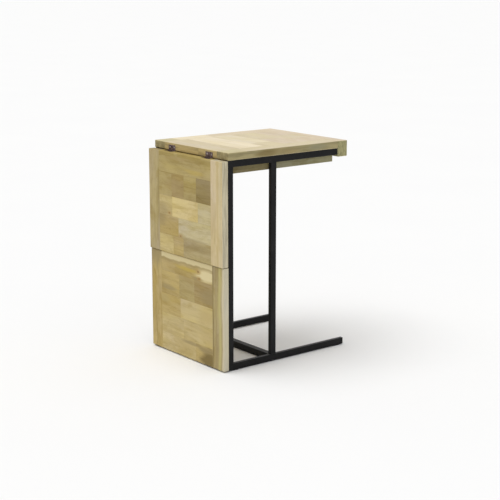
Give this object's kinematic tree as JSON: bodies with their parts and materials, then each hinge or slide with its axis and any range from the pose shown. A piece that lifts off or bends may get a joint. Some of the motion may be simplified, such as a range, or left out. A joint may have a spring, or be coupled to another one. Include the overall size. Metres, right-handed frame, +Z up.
{
  "type": "side table with drawer",
  "caption": "C-shaped side table with a plank tabletop, a hinged drop leaf above a fixed side panel, a shallow end drawer and a slim black steel frame with foot rails.",
  "frame": {"origin": "on the floor, in the middle of the whole table's box", "axes": "+Z up, +X along the foot rails towards the drawer front, +Y across the table away from its near side frame"},
  "size_m": [0.473, 0.365, 0.64],
  "materials": {
    "board_wood": "matt oiled light hardwood, mixed planks",
    "drawer_wood": "matt sanded",
    "plywood": "matt",
    "black_steel": "satin black powder coat",
    "black_plastic": "matt",
    "aged_bronze": "aged",
    "zinc_steel": "dull zinc"
  },
  "bodies": {
    "table": {"foot_rail_near": "black_steel", "foot_rail_far": "black_steel", "top_rail_near": "black_steel", "top_rail_far": "black_steel", "outer_post_near": "black_steel", "outer_post_far": "black_steel", "inner_post_near": "black_steel", "inner_post_far": "black_steel", "floor_crossbar": "black_steel", "foot_end_caps": "black_plastic", "rail_end_caps": "black_plastic", "floor_glides": "black_plastic", "tabletop_screws": "zinc_steel", "tabletop_strip_near": "board_wood", "tabletop_strip_far": "board_wood", "tabletop_plank_1": "board_wood", "tabletop_plank_2": "board_wood", "tabletop_plank_3": "board_wood", "tabletop_plank_4": "board_wood", "tabletop_plank_5": "board_wood", "hinge_fixed_plates": "aged_bronze", "hinge_pins": "zinc_steel", "hinge_tabletop_screws": "zinc_steel", "side_panel_strip_near": "board_wood", "side_panel_strip_far": "board_wood", "side_panel_plank_1": "board_wood", "side_panel_plank_2": "board_wood", "side_panel_plank_3": "board_wood", "side_panel_plank_4": "board_wood", "side_panel_plank_5": "board_wood", "side_panel_screws": "black_steel", "drawer_runner_near": "drawer_wood", "drawer_runner_far": "drawer_wood", "runner_screws": "zinc_steel"},
    "drop_leaf": {"drop_leaf_strip_near": "board_wood", "drop_leaf_strip_far": "board_wood", "drop_leaf_plank_1": "board_wood", "drop_leaf_plank_2": "board_wood", "drop_leaf_plank_3": "board_wood", "drop_leaf_plank_4": "board_wood", "drop_leaf_plank_5": "board_wood", "hinge_leaf_plates": "aged_bronze", "hinge_leaf_screws": "zinc_steel"},
    "drawer": {"drawer_side_near": "drawer_wood", "drawer_side_far": "drawer_wood", "drawer_front": "board_wood", "drawer_front_batten": "drawer_wood", "drawer_inner_front": "drawer_wood", "drawer_back": "drawer_wood", "drawer_bottom": "plywood", "drawer_front_screws": "zinc_steel"}
  },
  "joints": [
    {"name": "leaf_hinge", "type": "hinge", "parent": "table", "child": "drop_leaf", "pos_m": [-0.2135, 0, 0.617], "axis": [0, 1, 0], "range_deg": [0, 90]},
    {"name": "drawer_slide", "type": "slide", "parent": "table", "child": "drawer", "axis": [1, 0, 0], "range_m": [0, 0.25]}
  ]
}
